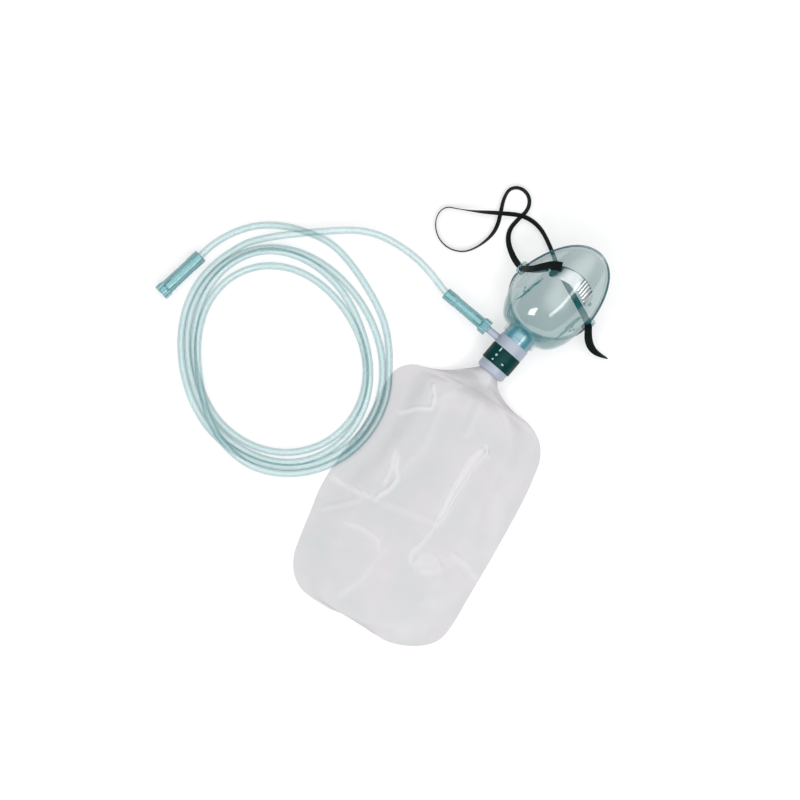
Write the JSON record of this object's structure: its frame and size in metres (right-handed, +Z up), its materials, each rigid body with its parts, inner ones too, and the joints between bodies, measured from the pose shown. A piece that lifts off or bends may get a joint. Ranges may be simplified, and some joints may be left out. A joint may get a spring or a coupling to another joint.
{
  "type": "oxygen mask with reservoir bag",
  "caption": "Clear face mask on a swivel, with a side-fed valve body, turning dilution collar, flat reservoir bag, elastic head strap and coiled supply tubing.",
  "frame": {"origin": "on the table under the middle of the mask and reservoir bag's box, without the tubing and strap", "axes": "+Y along the valve barrel from the bag towards the mask, +Z up from the table, +X to the barrel's side away from the oxygen nipple"},
  "size_m": [0.3794, 0.3828, 0.0653],
  "materials": {
    "clear_mask": "clear green-tinted soft PVC, glossy",
    "clip_aluminium": "polished soft aluminium strip",
    "swivel_teal": "translucent blue-green plastic",
    "valve_white": "lilac-white moulded plastic",
    "collar_green": "very dark green moulded plastic",
    "silicone": "milky silicone",
    "bag_film": "milky translucent PVC film",
    "strap_elastic": "very dark green elastic braid",
    "line_clear": "clear green-tinted PVC tubing",
    "connector_clear": "translucent green soft PVC"
  },
  "bodies": {
    "valve": {"valve_body": "valve_white", "valve_seat": "valve_white", "flap_pin": "valve_white", "bag_adapter": "valve_white", "bag_neck_band": "silicone", "reservoir_bag": "bag_film"},
    "mask": {"mask_shell": "clear_mask", "nose_clip": "clip_aluminium", "swivel_connector": "swivel_teal", "head_strap": "strap_elastic"},
    "collar": {"dilution_collar": "collar_green"},
    "flap": {"inlet_flap": "silicone"},
    "line": {"mask_end_connector": "connector_clear", "oxygen_tubing_lead": "line_clear", "oxygen_tubing_coil": "line_clear", "oxygen_tubing_tail": "line_clear", "supply_end_connector": "connector_clear"}
  },
  "joints": [
    {"name": "mask_swivel", "type": "hinge", "parent": "valve", "child": "mask", "pos_m": [-0.0265, 0.094, 0.0202], "axis": [0, 1, 0], "continuous": true},
    {"name": "collar_turn", "type": "hinge", "parent": "valve", "child": "collar", "pos_m": [-0.0265, 0.068, 0.0202], "axis": [0, 1, 0], "range_deg": [-50, 0]},
    {"name": "flap_lift", "type": "slide", "parent": "valve", "child": "flap", "axis": [0, 1, 0], "range_m": [0, 0.0012]},
    {"name": "line_pull_off", "type": "slide", "parent": "valve", "child": "line", "axis": [-1, 0, 0], "range_m": [0, 0.014]}
  ]
}
